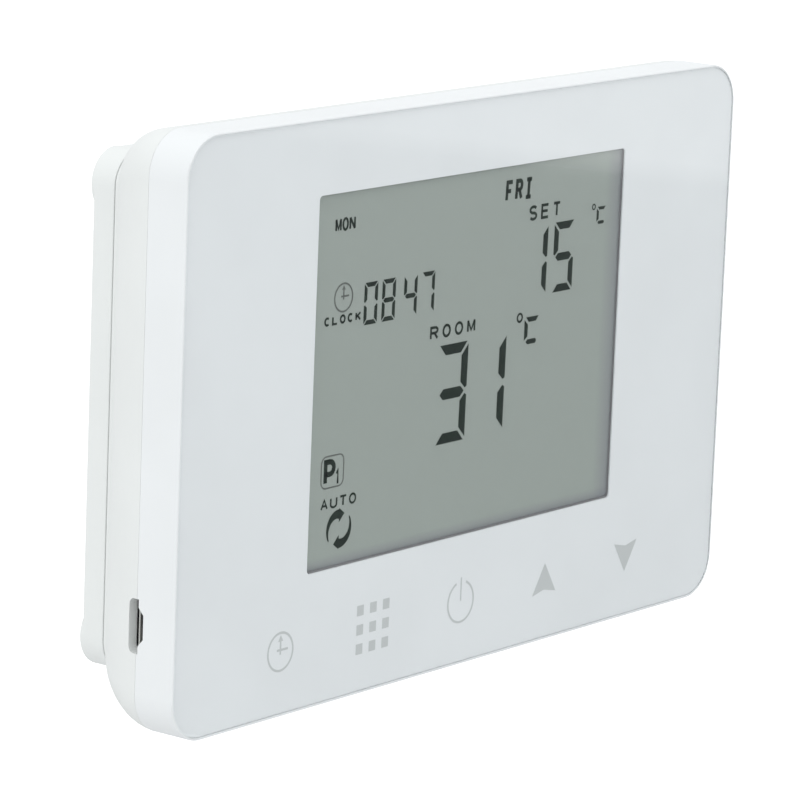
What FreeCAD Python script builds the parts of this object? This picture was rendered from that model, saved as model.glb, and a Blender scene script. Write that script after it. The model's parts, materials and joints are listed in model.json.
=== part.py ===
"""Programmable room thermostat with a touch panel, an LCD, two AAA cells and a wall plate.

The frame is the wall's: the origin is the centre of the wall plate where it meets the wall, +Z is up,
+X is to the right seen from the front, and +Y points into the wall. Depths below are measured from the
front face of the panel towards the wall, so a point at depth d lies at Y = d - overall_depth.
"""
import FreeCAD, Part
import Sketcher
import math
import os
import re

DRIVING_SIZES = {
    # outline of the controller
    "overall_depth": 26.3,
    "face_width": 140.0,
    "face_height": 90.3,
    "face_radius": 6.7,
    "seam_depth": 7.2,
    "seam_gap": 0.04,
    "edge_fillet": 0.2,
    "front_wall": 2.4,
    "front_skin": 1.6,
    # rear housing
    "shell_depth": 20.0,
    "shell_inset_x": 9.0,
    "shell_inset_z": 4.9,
    "shell_radius": 7.0,
    "shell_bulge": 1.5,
    "shell_wall": 1.8,
    "shell_back_wall": 1.1,
    "plinth_height": 1.65,
    # lip of the front housing that stands behind the seam
    "lip_wall": 1.2,
    "lip_overlap": 0.2,
    "lip_root": 1.6,
    "lip_rise": 1.4,
    # touch panel and its printed film
    "panel_rim": 0.3,
    "panel_gap": 0.08,
    "panel_thickness": 0.4,
    "film_thickness": 0.2,
    "film_border": 0.12,
    "window_width": 78.5,
    "window_height": 57.7,
    "window_rise": 4.7,
    "window_radius": 0.7,
    # display stack behind the window
    "gasket_depth": 0.35,
    "gasket_overlap": 0.25,
    "glass_margin": 2.6,
    "glass_thickness": 0.7,
    "glass_ledge": 3.0,
    "polariser_thickness": 0.2,
    "diffuser_thickness": 0.1,
    "guide_thickness": 2.35,
    "guide_short": 2.4,
    "holder_wall": 1.2,
    "holder_fit": 0.2,
    "led_height": 1.2,
    "led_width": 3.0,
    "led_spacing": 16.0,
    # touch keys
    "key_count": 5,
    "key_spacing": 22.5,
    "key_drop": 35.0,
    "key_hole_radius": 3.6,
    "key_spring_radius": 2.5,
    "key_wire_radius": 0.35,
    "coil_play": 0.05,
    # main board
    "board_width": 132.0,
    "board_height": 82.0,
    "board_depth": 5.8,
    "board_thickness": 1.6,
    "board_screw_x": 60.0,
    "board_screw_z": 12.0,
    "case_screw_x": 56.0,
    "case_screw_z": 34.0,
    "boss_radius": 3.0,
    "boss_fit": 0.4,
    "boss_pilot_radius": 1.15,
    "boss_pilot_length": 5.6,
    "post_radius": 2.5,
    "post_pilot_radius": 0.85,
    "post_pilot_length": 2.4,
    "board_hole_radius": 1.2,
    "tube_radius": 3.5,
    "tube_depth": 9.9,
    "tube_floor": 1.5,
    "tube_bore_radius": 2.6,
    "tube_hole_radius": 1.4,
    "board_screw_head_radius": 1.9,
    "board_screw_head_height": 1.4,
    "board_screw_radius": 0.8,
    "board_screw_length": 3.6,
    "case_screw_head_radius": 2.2,
    "case_screw_head_height": 1.8,
    "case_screw_radius": 1.1,
    "case_screw_length": 6.6,
    "cross_cut": 0.8,
    "cross_width": 0.5,
    # parts on the rear of the board
    "crystal_length": 11.0,
    "crystal_width": 4.6,
    "crystal_height": 3.5,
    "resistor_length": 1.6,
    "resistor_width": 0.8,
    "resistor_height": 0.5,
    "resistor_pitch": 3.0,
    "capacitor_radius": 3.15,
    "capacitor_height": 7.0,
    "sensor_x": 48.0,
    "sensor_drop": 36.0,
    "sensor_radius": 1.3,
    "sensor_rise": 3.0,
    "sensor_bead": 2.4,
    "lead_radius": 0.25,
    "lead_half_pitch": 0.6,
    "radio_x": 41.0,
    "radio_rise": 23.0,
    "radio_width": 18.0,
    "radio_height": 16.0,
    "radio_standoff": 2.0,
    "radio_thickness": 1.0,
    "radio_chip_side": 4.0,
    "pin_pitch": 2.54,
    "pin_side": 0.6,
    "aerial_radius": 2.0,
    "aerial_wire_radius": 0.35,
    "aerial_length": 14.0,
    # micro USB inlet in the left side
    "usb_drop": 28.05,
    "usb_half_length": 3.75,
    "usb_narrow_half": 2.6,
    "usb_chamfer": 1.2,
    "usb_front": 5.95,
    "usb_rear": 8.45,
    "usb_shell_wall": 0.25,
    "usb_length": 5.1,
    "usb_setback": 2.0,
    "tongue_setback": 0.8,
    "tongue_half_width": 1.85,
    "tongue_front": 7.25,
    "tongue_rear": 7.85,
    "tongue_base": 0.9,
    "pad_pitch": 0.65,
    "pad_half_width": 0.2,
    "pad_thickness": 0.1,
    "recess_half_length": 4.15,
    "recess_depth": 8.95,
    "recess_radius": 1.1,
    "notch_step": 0.3,
    "notch_half_long": 2.9,
    "notch_half_short": 1.85,
    # batteries and their compartment
    "cell_radius": 5.25,
    "cell_length": 43.3,
    "nub_radius": 1.9,
    "nub_length": 1.2,
    "cell_depth": 14.55,
    "cell_upper_drop": 20.5,
    "cell_pitch": 11.2,
    "tray_half_width": 26.5,
    "tray_wall": 1.2,
    "tray_front": 8.0,
    "tray_floor": 1.1,
    "tray_margin": 1.0,
    "contact_thickness": 0.4,
    "contact_half_depth": 4.5,
    "contact_spring_radius": 3.0,
    "contact_wire_radius": 0.35,
    # battery door
    "door_half_width": 28.5,
    "door_top_drop": 12.6,
    "door_thickness": 1.4,
    "door_inner_depth": 20.1,
    "door_tongue": 1.2,
    "door_tongue_thickness": 0.8,
    "door_clearance": 0.15,
    "groove_length": 18.0,
    "groove_width": 1.2,
    "groove_cut": 0.4,
    "groove_pitch": 2.6,
    "groove_rise": 6.0,
    # vents in the underside
    "vent_start": 36.0,
    "vent_pitch": 3.0,
    "vent_width": 1.3,
    "vent_front": 10.5,
    "vent_rear": 15.0,
    # wall plate
    "plate_width": 121.6,
    "plate_height": 79.3,
    "plate_radius": 5.2,
    "plate_drop": 0.1,
    "plate_front": 21.8,
    "plate_rear": 25.7,
    "plate_wall": 1.6,
    "pad_radius": 5.2,
    "rib_width": 1.2,
    "rib_setback": 0.6,
    "screw_boss_margin": 5.0,
    "wall_screw_half_pitch": 30.0,
    "wall_screw_slot": 8.0,
    "wall_screw_width": 4.4,
    # hooks that carry the controller on the plate
    "hook_x": 46.0,
    "hook_upper": 20.0,
    "hook_lower": -22.0,
    "hook_width": 7.0,
    "hook_stem": 2.2,
    "hook_lip": 4.0,
    "hook_lip_thickness": 1.4,
    "hook_front": 17.4,
    "hook_travel": 5.0,
    "hook_play": 0.1,
    "window_play": 0.4,
}
# flat parts on the rear of the board: x, z, width, height and thickness of each
BOARD_CHIPS = {
    "controller_chip": (-20.0, 15.0, 12.0, 12.0, 1.4),
    "memory_chip": (-38.0, 8.0, 5.0, 4.0, 1.5),
    "touch_chip": (10.0, -3.0, 10.0, 4.0, 1.5),
    "power_regulator": (-56.0, -18.0, 6.5, 6.5, 2.2),
}
CHIP_FIELDS = ("x", "z", "width", "height", "thickness")
for chip, numbers in BOARD_CHIPS.items():
    DRIVING_SIZES.update({f"{chip}_{field}": number for field, number in zip(CHIP_FIELDS, numbers)})
SHELL_STEPS = 4
VENT_COUNT = 7
GROOVE_COUNT = 4
CUT_PAST = 1.0

document = FreeCAD.newDocument("room_thermostat")
sheet = document.addObject("Spreadsheet::Sheet", "Sizes")
for row, (alias, number) in enumerate(DRIVING_SIZES.items(), start=1):
    sheet.set(f"A{row}", alias)
    sheet.set(f"B{row}", str(number))
    sheet.setAlias(f"B{row}", alias)
document.recompute()
subparts = []


# ---------------------------------------------------------------- expressions
def cells(expression):
    """Point each size named in an expression at its cell in the sheet."""
    return re.sub(r"[a-z_]+", lambda word: f"Sizes.{word[0]}" if word[0] in DRIVING_SIZES else word[0],
                  str(expression))


def value(expression):
    """The number that an expression of sizes gives, in millimetres."""
    return float(sheet.evalExpression(cells(expression)))


def bind(target, property_name, expression):
    """Keep a property equal to an expression of sizes."""
    target.setExpression(property_name, cells(expression))


def place(target, x, depth, z, rotation=FreeCAD.Rotation()):
    """Put an object's own origin at a place given by three expressions."""
    target.Placement = FreeCAD.Placement(FreeCAD.Vector(), rotation)
    bind(target, "Placement.Base.x", x)
    bind(target, "Placement.Base.y", f"({depth}) - overall_depth")
    bind(target, "Placement.Base.z", z)


# ---------------------------------------------------------------- outlines for sketches
def dimension(sketch, kind, where, expression):
    """Add one dimension to a sketch and bind it to an expression."""
    index = sketch.addConstraint(Sketcher.Constraint(kind, *where, value(expression)))
    bind(sketch, f"Constraints[{index}]", expression)


def polygon(points):
    """A closed outline of straight lines through points, each a pair of expressions."""
    def draw(sketch):
        corners = [FreeCAD.Vector(value(across), value(up), 0) for across, up in points]
        edges = [Part.LineSegment(start, end) for start, end in zip(corners, corners[1:] + corners[:1])]
        first = sketch.addGeometry(edges)[0]
        for index, (across, up) in enumerate(points):
            following = first + (index + 1) % len(points)
            sketch.addConstraint(Sketcher.Constraint("Coincident", first + index, 2, following, 1))
            dimension(sketch, "DistanceX", (-1, 1, first + index, 1), across)
            dimension(sketch, "DistanceY", (-1, 1, first + index, 1), up)
    return draw


def rectangle(x, z, width, height):
    """A plain rectangle about the point x, z."""
    low_x, high_x = f"{x} - ({width}) / 2", f"{x} + ({width}) / 2"
    low_z, high_z = f"{z} - ({height}) / 2", f"{z} + ({height}) / 2"
    return polygon([(low_x, low_z), (high_x, low_z), (high_x, high_z), (low_x, high_z)])


def rounded(x, z, width, height, radius):
    """A rectangle about the point x, z with four rounded corners."""
    def draw(sketch):
        turn = value(radius)
        reach_x = value(width) / 2 - turn
        reach_z = value(height) / 2 - turn
        middle = FreeCAD.Vector(value(x), value(z), 0)
        centres = [middle + FreeCAD.Vector(sx * reach_x, sz * reach_z, 0)
                   for sx, sz in ((1, 1), (-1, 1), (-1, -1), (1, -1))]
        normal = FreeCAD.Vector(0, 0, 1)
        arcs = [Part.ArcOfCircle(Part.Circle(centre, normal, turn), quarter * math.pi / 2,
                                 (quarter + 1) * math.pi / 2) for quarter, centre in enumerate(centres)]
        lines = [Part.LineSegment(arcs[quarter].EndPoint, arcs[(quarter + 1) % 4].StartPoint)
                 for quarter in range(4)]
        first = sketch.addGeometry(arcs + lines)[0]
        for quarter in range(4):
            line = first + 4 + quarter
            sketch.addConstraint([
                Sketcher.Constraint("Tangent", first + quarter, 2, line, 1),
                Sketcher.Constraint("Tangent", line, 2, first + (quarter + 1) % 4, 1),
                Sketcher.Constraint("Vertical" if quarter % 2 else "Horizontal", line),
            ])
        for quarter in range(1, 4):
            sketch.addConstraint(Sketcher.Constraint("Equal", first, first + quarter))
        dimension(sketch, "Radius", (first,), radius)
        dimension(sketch, "DistanceX", (first + 2, 3, first, 3), f"({width}) - 2 * ({radius})")
        dimension(sketch, "DistanceY", (first + 2, 3, first, 3), f"({height}) - 2 * ({radius})")
        dimension(sketch, "DistanceX", (-1, 1, first, 3), f"{x} + ({width}) / 2 - ({radius})")
        dimension(sketch, "DistanceY", (-1, 1, first, 3), f"{z} + ({height}) / 2 - ({radius})")
    return draw


def circle(x, z, radius):
    """A circle about the point x, z."""
    def draw(sketch):
        centre = FreeCAD.Vector(value(x), value(z), 0)
        index = sketch.addGeometry(Part.Circle(centre, FreeCAD.Vector(0, 0, 1), value(radius)))
        dimension(sketch, "Radius", (index,), radius)
        dimension(sketch, "DistanceX", (-1, 1, index, 3), x)
        dimension(sketch, "DistanceY", (-1, 1, index, 3), z)
    return draw


def slot(x, z, length, width):
    """A round-ended slot along X about the point x, z; length is from end to end."""
    def draw(sketch):
        radius = value(width) / 2
        reach = value(length) / 2 - radius
        middle = FreeCAD.Vector(value(x), value(z), 0)
        normal = FreeCAD.Vector(0, 0, 1)
        right, left = (Part.Circle(middle + FreeCAD.Vector(side * reach, 0, 0), normal, radius)
                       for side in (1, -1))
        arcs = [Part.ArcOfCircle(right, -math.pi / 2, math.pi / 2),
                Part.ArcOfCircle(left, math.pi / 2, 3 * math.pi / 2)]
        lines = [Part.LineSegment(arcs[0].EndPoint, arcs[1].StartPoint),
                 Part.LineSegment(arcs[1].EndPoint, arcs[0].StartPoint)]
        first = sketch.addGeometry(arcs + lines)[0]
        sketch.addConstraint([
            Sketcher.Constraint("Tangent", first, 2, first + 2, 1),
            Sketcher.Constraint("Tangent", first + 2, 2, first + 1, 1),
            Sketcher.Constraint("Tangent", first + 1, 2, first + 3, 1),
            Sketcher.Constraint("Tangent", first + 3, 2, first, 1),
            Sketcher.Constraint("Horizontal", first + 2),
            Sketcher.Constraint("Equal", first, first + 1),
        ])
        dimension(sketch, "Radius", (first,), f"({width}) / 2")
        dimension(sketch, "DistanceX", (-1, 1, first, 3), f"{x} + ({length}) / 2 - ({width}) / 2")
        dimension(sketch, "DistanceX", (-1, 1, first + 1, 3), f"{x} - ({length}) / 2 + ({width}) / 2")
        dimension(sketch, "DistanceY", (-1, 1, first, 3), z)
    return draw


# ---------------------------------------------------------------- bodies and features
def new_body(label):
    """Start a sub-part; its label is also its file's name."""
    body = document.addObject("PartDesign::Body", label)
    body.AllowCompound = True
    subparts.append(body)
    return body


def sketch_on(body, plane, offset, shapes):
    """A sketch on one of the body's own origin planes, moved along the plane's normal."""
    sketch = body.newObject("Sketcher::SketchObject", f"{body.Name}_sketch")
    origin_plane = next(item for item in body.Origin.OriginFeatures if item.Role == plane)
    sketch.AttachmentSupport = [(origin_plane, "")]
    sketch.MapMode = "FlatFace"
    bind(sketch, "AttachmentOffset.Base.z", offset)
    for draw in shapes:
        draw(sketch)
    return sketch


def sketch_at_depth(body, depth, shapes):
    """A sketch parallel to the front face; its plane's normal points to the front."""
    return sketch_on(body, "XZ_Plane", f"overall_depth - ({depth})", shapes)


def pad(body, front, rear, shapes):
    """Add outlines between two depths."""
    feature = body.newObject("PartDesign::Pad", f"{body.Name}_pad")
    feature.Profile = sketch_at_depth(body, front, shapes)
    feature.Reversed = True
    bind(feature, "Length", f"({rear}) - ({front})")


def pocket(body, front, rear, shapes):
    """Cut outlines away between two depths."""
    feature = body.newObject("PartDesign::Pocket", f"{body.Name}_pocket")
    feature.Profile = sketch_at_depth(body, front, shapes)
    bind(feature, "Length", f"({rear}) - ({front})")


def pad_across(body, start_x, length, shapes):
    """Add outlines of depth and height, running along +X."""
    feature = body.newObject("PartDesign::Pad", f"{body.Name}_pad")
    feature.Profile = sketch_on(body, "YZ_Plane", start_x, shapes)
    bind(feature, "Length", length)


def pocket_across(body, start_x, length, shapes):
    """Cut outlines of depth and height away, running along +X."""
    feature = body.newObject("PartDesign::Pocket", f"{body.Name}_pocket")
    feature.Profile = sketch_on(body, "YZ_Plane", start_x, shapes)
    feature.Reversed = True
    bind(feature, "Length", length)


def pad_upward(body, start_z, length, shapes):
    """Add outlines of x and depth, running up along +Z."""
    feature = body.newObject("PartDesign::Pad", f"{body.Name}_pad")
    feature.Profile = sketch_on(body, "XY_Plane", start_z, shapes)
    bind(feature, "Length", length)


def pocket_upward(body, start_z, length, shapes):
    """Cut outlines of x and depth away, running up along +Z."""
    feature = body.newObject("PartDesign::Pocket", f"{body.Name}_pocket")
    feature.Profile = sketch_on(body, "XY_Plane", start_z, shapes)
    feature.Reversed = True
    bind(feature, "Length", length)


def at_depths(points):
    """Turn pairs of depth and height into pairs of Y and height."""
    return [(f"({depth}) - overall_depth", up) for depth, up in points]


def from_x_and_depth(points):
    """Turn pairs of x and depth into pairs of X and Y."""
    return [(x, f"({depth}) - overall_depth") for x, depth in points]


def round_edges(body, depth, radius):
    """Fillet the outermost loop of edges that lies in the plane at one depth."""
    document.recompute()
    base = body.Tip
    level = value(f"({depth}) - overall_depth")
    loops = [face.OuterWire for face in base.Shape.Faces
             if all(abs(corner.Y - level) < 0.001 for corner in face.OuterWire.Vertexes)]
    outer = max(loops, key=lambda loop: loop.BoundBox.DiagonalLength)
    names = [f"Edge{number}" for number, edge in enumerate(base.Shape.Edges, start=1)
             if any(edge.isSame(side) for side in outer.Edges)]
    feature = body.newObject("PartDesign::Fillet", f"{body.Name}_fillet")
    feature.Base = (base, names)
    bind(feature, "Radius", radius)


def plate_piece(label, front, rear, shapes):
    """A sub-part that is flat outlines of one thickness."""
    body = new_body(label)
    pad(body, front, rear, shapes)
    return body


def mirrored_points(x, z):
    """The four points at plus and minus x and z, as expressions."""
    return [(f"{side_x} * {x}", f"{side_z} * {z}") for side_x in (1, -1) for side_z in (1, -1)]


def group(label, members):
    """A sub-part that is several separate solids of the same kind."""
    compound = document.addObject("Part::Compound", label)
    compound.Links = members
    subparts.append(compound)


def cylinder(name, radius, length, x, depth, z, rotation=FreeCAD.Rotation()):
    """A round bar from the given point, along +Z until it is rotated."""
    bar = document.addObject("Part::Cylinder", name)
    bind(bar, "Radius", radius)
    bind(bar, "Height", length)
    place(bar, x, depth, z, rotation)
    return bar


def coil(name, radius, wire_radius, turns, length, x, depth, z, rotation):
    """A coil spring of round wire that starts at the given point."""
    helix = document.addObject("Part::Helix", f"{name}_path")
    bind(helix, "Radius", radius)
    bind(helix, "Height", length)
    bind(helix, "Pitch", f"({length}) / {turns}")
    wire = document.addObject("Part::Circle", f"{name}_section")
    bind(wire, "Radius", wire_radius)
    wire.Placement = FreeCAD.Placement(FreeCAD.Vector(), FreeCAD.Rotation(FreeCAD.Vector(1, 0, 0), 90))
    bind(wire, "Placement.Base.x", radius)
    spring = document.addObject("Part::Sweep", name)
    spring.Sections = [wire]
    spring.Spine = (helix, [])
    spring.Solid = True
    spring.Frenet = True
    place(spring, x, depth, z, rotation)
    return spring


INTO_WALL = FreeCAD.Rotation(FreeCAD.Vector(1, 0, 0), -90)
TO_THE_RIGHT = FreeCAD.Rotation(FreeCAD.Vector(0, 1, 0), 90)
TO_THE_LEFT = FreeCAD.Rotation(FreeCAD.Vector(0, 1, 0), -90)

# depths that several sub-parts share
FILM_REAR = "panel_thickness + film_thickness"
SKIN_REAR = f"{FILM_REAR} + front_skin"
GASKET_REAR = f"{FILM_REAR} + gasket_depth"
FRONT_GLASS = f"{GASKET_REAR} + polariser_thickness"
REAR_GLASS = f"{FRONT_GLASS} + glass_thickness"
REAR_POLARISER = f"{REAR_GLASS} + glass_thickness"
DIFFUSER = f"{REAR_POLARISER} + polariser_thickness"
LIGHT_GUIDE = f"{DIFFUSER} + diffuser_thickness"
BOARD_REAR = "board_depth + board_thickness"
PLINTH_REAR = "shell_depth + plinth_height"

# outlines that several sub-parts share
GLASS_WIDTH = "window_width + 2 * glass_margin"
GLASS_HEIGHT = "window_height + 2 * glass_margin"
LEDGE_RISE = "window_rise - glass_ledge / 2"
LEDGE_HEIGHT = f"{GLASS_HEIGHT} + glass_ledge"
USB_MOUTH = "-face_width / 2 + usb_setback"
LEFT_OF_CASE = f"-face_width / 2 - {CUT_PAST}"
BELOW_CASE = f"-face_height / 2 - {CUT_PAST}"
PAST_PLINTH = f"{PLINTH_REAR} + {CUT_PAST}"
BOARD_SCREWS = mirrored_points("board_screw_x", "board_screw_z")
CASE_SCREWS = mirrored_points("case_screw_x", "case_screw_z")
HOOKS = [(f"{side} * hook_x", height) for side in (-1, 1) for height in ("hook_upper", "hook_lower")]
KEYS = [f"({number} - (key_count - 1) / 2) * key_spacing" for number in range(int(value("key_count")))]
CELLS = [("upper", "-cell_upper_drop"), ("lower", "-cell_upper_drop - cell_pitch")]


# ---------------------------------------------------------------- front of the controller
def make_front_housing():
    """The open frame behind the panel: rim, side walls, front skin, bosses, posts and seam lip."""
    body = new_body("front_housing")
    pad(body, "0", "seam_depth", [
        rounded("0", "0", "face_width", "face_height", "face_radius"),
        rounded("0", "0", "face_width - 2 * front_wall", "face_height - 2 * front_wall",
                "face_radius - front_wall")])
    pad(body, FILM_REAR, SKIN_REAR, [
        rounded("0", "0", "face_width - front_wall", "face_height - front_wall",
                "face_radius - front_wall / 2"),
        rounded("0", LEDGE_RISE, f"{GLASS_WIDTH} + glass_margin / 2", f"{LEDGE_HEIGHT} + glass_margin / 2",
                "window_radius")])
    pocket(body, "0", FILM_REAR, [
        rounded("0", "0", "face_width - 2 * panel_rim", "face_height - 2 * panel_rim",
                "face_radius - panel_rim")])
    pocket(body, "0", SKIN_REAR, [circle(x, "-key_drop", "key_hole_radius") for x in KEYS])
    # the lip stands behind the seam and registers the rear housing
    lip_width = "face_width - 2 * front_wall + 2 * lip_overlap"
    lip_height = "face_height - 2 * front_wall + 2 * lip_overlap"
    lip_radius = "face_radius - front_wall + lip_overlap"
    pad(body, "seam_depth - lip_root", "seam_depth + lip_rise", [
        rounded("0", "0", lip_width, lip_height, lip_radius),
        rounded("0", "0", f"{lip_width} - 2 * lip_wall", f"{lip_height} - 2 * lip_wall",
                f"{lip_radius} - lip_wall")])
    pad(body, SKIN_REAR, "tube_depth - 0.1", [circle(x, z, "boss_radius") for x, z in CASE_SCREWS])
    pad(body, SKIN_REAR, "board_depth", [circle(x, z, "post_radius") for x, z in BOARD_SCREWS])
    pocket(body, "tube_depth - boss_pilot_length", "tube_depth",
           [circle(x, z, "boss_pilot_radius") for x, z in CASE_SCREWS])
    pocket(body, "board_depth - post_pilot_length", "board_depth",
           [circle(x, z, "post_pilot_radius") for x, z in BOARD_SCREWS])
    make_usb_notch(body)
    round_edges(body, "0", "edge_fillet")


def make_usb_notch(body):
    """The front half of the USB opening: a slot, then a trapezoid in the side wall, and room behind."""
    behind_lip = "seam_depth + lip_rise + 0.5"
    upper_edge = [
        (behind_lip, "recess_half_length"),
        ("seam_depth - notch_step", "recess_half_length"),
        ("seam_depth - notch_step", "notch_half_long"),
        ("usb_front", "notch_half_short")]
    outline = [(depth, f"-usb_drop + {half}") for depth, half in upper_edge]
    outline += [(depth, f"-usb_drop - {half}") for depth, half in reversed(upper_edge)]
    pocket_across(body, LEFT_OF_CASE, "front_wall + lip_wall + 2", [polygon(at_depths(outline))])
    pocket_across(body, USB_MOUTH, "front_wall + lip_wall", [polygon(at_depths([
        ("usb_front - 0.1", "-usb_drop - recess_half_length"),
        (behind_lip, "-usb_drop - recess_half_length"),
        (behind_lip, "-usb_drop + recess_half_length"),
        ("usb_front - 0.1", "-usb_drop + recess_half_length")]))])


def make_touch_panel():
    """The clear acrylic panel that covers the whole face."""
    edge = "(2 * panel_rim + 2 * panel_gap)"
    body = plate_piece("touch_panel", "0", "panel_thickness", [
        rounded("0", "0", f"face_width - {edge}", f"face_height - {edge}",
                "face_radius - panel_rim - panel_gap")])
    round_edges(body, "0", "edge_fillet / 2")


def make_panel_print():
    """The white film behind the panel, with the display window in it."""
    edge = "(2 * panel_rim + 2 * panel_gap + 2 * film_border)"
    plate_piece("panel_print", "panel_thickness", FILM_REAR, [
        rounded("0", "0", f"face_width - {edge}", f"face_height - {edge}",
                "face_radius - panel_rim - panel_gap - film_border"),
        rounded("0", "window_rise", "window_width", "window_height", "window_radius")])


# ---------------------------------------------------------------- display stack
def make_display():
    """Foam gasket, polarisers, two glasses, diffuser, light guide and reflector, front to rear."""
    opening_height = "window_height - gasket_overlap"
    plate_piece("lcd_gasket", FILM_REAR, GASKET_REAR, [
        rounded("0", "window_rise", GLASS_WIDTH, GLASS_HEIGHT, "window_radius"),
        rounded("0", "window_rise + gasket_overlap / 2", "window_width", opening_height, "window_radius")])
    film_width, film_height = "window_width + glass_margin", "window_height + glass_margin"
    plate_piece("lcd_front_polariser", GASKET_REAR, FRONT_GLASS,
                [rectangle("0", "window_rise", film_width, film_height)])
    plate_piece("lcd_front_glass", FRONT_GLASS, REAR_GLASS,
                [rectangle("0", LEDGE_RISE, GLASS_WIDTH, LEDGE_HEIGHT)])
    plate_piece("lcd_rear_glass", REAR_GLASS, REAR_POLARISER,
                [rectangle("0", "window_rise", GLASS_WIDTH, GLASS_HEIGHT)])
    plate_piece("lcd_rear_polariser", REAR_POLARISER, DIFFUSER,
                [rectangle("0", "window_rise", film_width, film_height)])
    plate_piece("diffuser_film", DIFFUSER, LIGHT_GUIDE,
                [rectangle("0", "window_rise", film_width, film_height)])
    guide_x, guide_width = "-guide_short / 2", f"{GLASS_WIDTH} - guide_short"
    plate_piece("light_guide", LIGHT_GUIDE, f"{LIGHT_GUIDE} + guide_thickness",
                [rectangle(guide_x, "window_rise", guide_width, GLASS_HEIGHT)])
    plate_piece("reflector_film", f"{LIGHT_GUIDE} + guide_thickness",
                f"{LIGHT_GUIDE} + guide_thickness + diffuser_thickness",
                [rectangle(guide_x, "window_rise", guide_width, GLASS_HEIGHT)])


def make_backlight_leds():
    """Three side-firing lamps at the right edge of the light guide."""
    plate_piece("backlight_leds", "board_depth - led_height", "board_depth", [
        rectangle(f"({GLASS_WIDTH}) / 2 - guide_short / 2", f"window_rise + {step} * led_spacing",
                  "guide_short - 3 * holder_fit", "led_width") for step in (-1, 0, 1)])


def make_lcd_holder():
    """The frame that keeps the display stack square on the board."""
    inner_width = f"{GLASS_WIDTH} + 2 * holder_fit"
    inner_height = f"{LEDGE_HEIGHT} + 2 * holder_fit"
    plate_piece("lcd_holder", f"{SKIN_REAR} + holder_fit / 2", "board_depth", [
        rectangle("0", LEDGE_RISE, f"{inner_width} + 2 * holder_wall", f"{inner_height} + 2 * holder_wall"),
        rectangle("0", LEDGE_RISE, inner_width, inner_height)])


def make_zebra_strip():
    """The rubber strip that connects the ledge of the front glass to the board."""
    plate_piece("zebra_strip", REAR_GLASS, "board_depth", [
        rectangle("0", f"window_rise - ({GLASS_HEIGHT}) / 2 - glass_ledge / 2",
                  f"{GLASS_WIDTH} - 2 * glass_margin", "glass_ledge - 4 * holder_fit")])


# ---------------------------------------------------------------- main board and what is on it
def make_main_board():
    """The circuit board, with holes for the case bosses and a cut-out for the USB inlet."""
    body = plate_piece("main_board", "board_depth", BOARD_REAR, [
        rounded("0", "0", "board_width", "board_height", "boss_radius"),
        *[circle(x, z, "boss_radius + boss_fit") for x, z in CASE_SCREWS],
        *[circle(x, z, "board_hole_radius") for x, z in BOARD_SCREWS]])
    pocket(body, f"board_depth - {CUT_PAST}", f"{BOARD_REAR} + {CUT_PAST}", [
        rectangle(f"{USB_MOUTH} + usb_length / 2", "-usb_drop", "usb_length + boss_fit",
                  "2 * usb_half_length + boss_fit")])


def make_touch_springs():
    """One sensing spring under each touch key, from the board to the back of the film."""
    wire = "key_wire_radius"
    group("touch_springs", [
        coil(f"touch_spring_{number}", "key_spring_radius", wire, 3,
             f"board_depth - ({FILM_REAR}) - 2 * {wire} - 2 * coil_play", x,
             f"{FILM_REAR} + {wire} + coil_play", "-key_drop", INTO_WALL)
        for number, x in enumerate(KEYS, start=1)])


def make_chips():
    """Flat electronic parts on the rear of the board, each a block of its own height."""
    for label in BOARD_CHIPS:
        x, z, width, height, thickness = (f"{label}_{field}" for field in CHIP_FIELDS)
        plate_piece(label, BOARD_REAR, f"{BOARD_REAR} + {thickness}", [rectangle(x, z, width, height)])
    above_chip = "controller_chip_z + controller_chip_height"
    plate_piece("crystal", BOARD_REAR, f"{BOARD_REAR} + crystal_height",
                [slot("controller_chip_x", above_chip, "crystal_length", "crystal_width")])
    plate_piece("chip_resistors", BOARD_REAR, f"{BOARD_REAR} + resistor_height", [
        rectangle(f"{column} * resistor_pitch", f"{above_chip} + {row} * resistor_pitch",
                  "resistor_length", "resistor_width") for column in range(4) for row in range(2)])


def make_capacitors():
    """Two can capacitors that stand on the rear of the board."""
    plate_piece("capacitors", BOARD_REAR, f"{BOARD_REAR} + capacitor_height", [
        circle("power_regulator_x + capacitor_radius", f"{place} * 1.4 * capacitor_radius",
               "capacitor_radius") for place in (-1, 1)])


def make_temperature_sensor():
    """The bead that measures the room's air, on two thin leads."""
    bead_front = f"{BOARD_REAR} + sensor_rise"
    body = plate_piece("temperature_sensor", BOARD_REAR, f"{bead_front} + sensor_radius", [
        circle(f"sensor_x + {side} * lead_half_pitch", "-sensor_drop", "lead_radius") for side in (-1, 1)])
    pad(body, bead_front, f"{bead_front} + sensor_bead",
        [circle("sensor_x", "-sensor_drop", "sensor_radius")])


def make_radio():
    """The radio module on its pins, its chip, and the coiled aerial above it."""
    board_front = f"{BOARD_REAR} + radio_standoff"
    board_rear = f"{board_front} + radio_thickness"
    plate_piece("radio_pins", BOARD_REAR, board_front, [
        rectangle(f"radio_x + {pin} * pin_pitch", "radio_rise - radio_height / 2 + 2 * pin_side",
                  "pin_side", "pin_side") for pin in (-2.5, -1.5, -0.5, 0.5, 1.5, 2.5)])
    plate_piece("radio_board", board_front, board_rear,
                [rectangle("radio_x", "radio_rise", "radio_width", "radio_height")])
    plate_piece("radio_chip", board_rear, f"{board_rear} + radio_thickness",
                [rectangle("radio_x", "radio_rise", "radio_chip_side", "radio_chip_side")])
    clear_of_board = "radio_rise + radio_height / 2 + 2.5 * aerial_radius"
    group("radio_aerial", [coil("radio_aerial_coil", "aerial_radius", "aerial_wire_radius", 8,
                                "aerial_length", "radio_x - aerial_length / 2", board_rear,
                                clear_of_board, TO_THE_RIGHT)])


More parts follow.
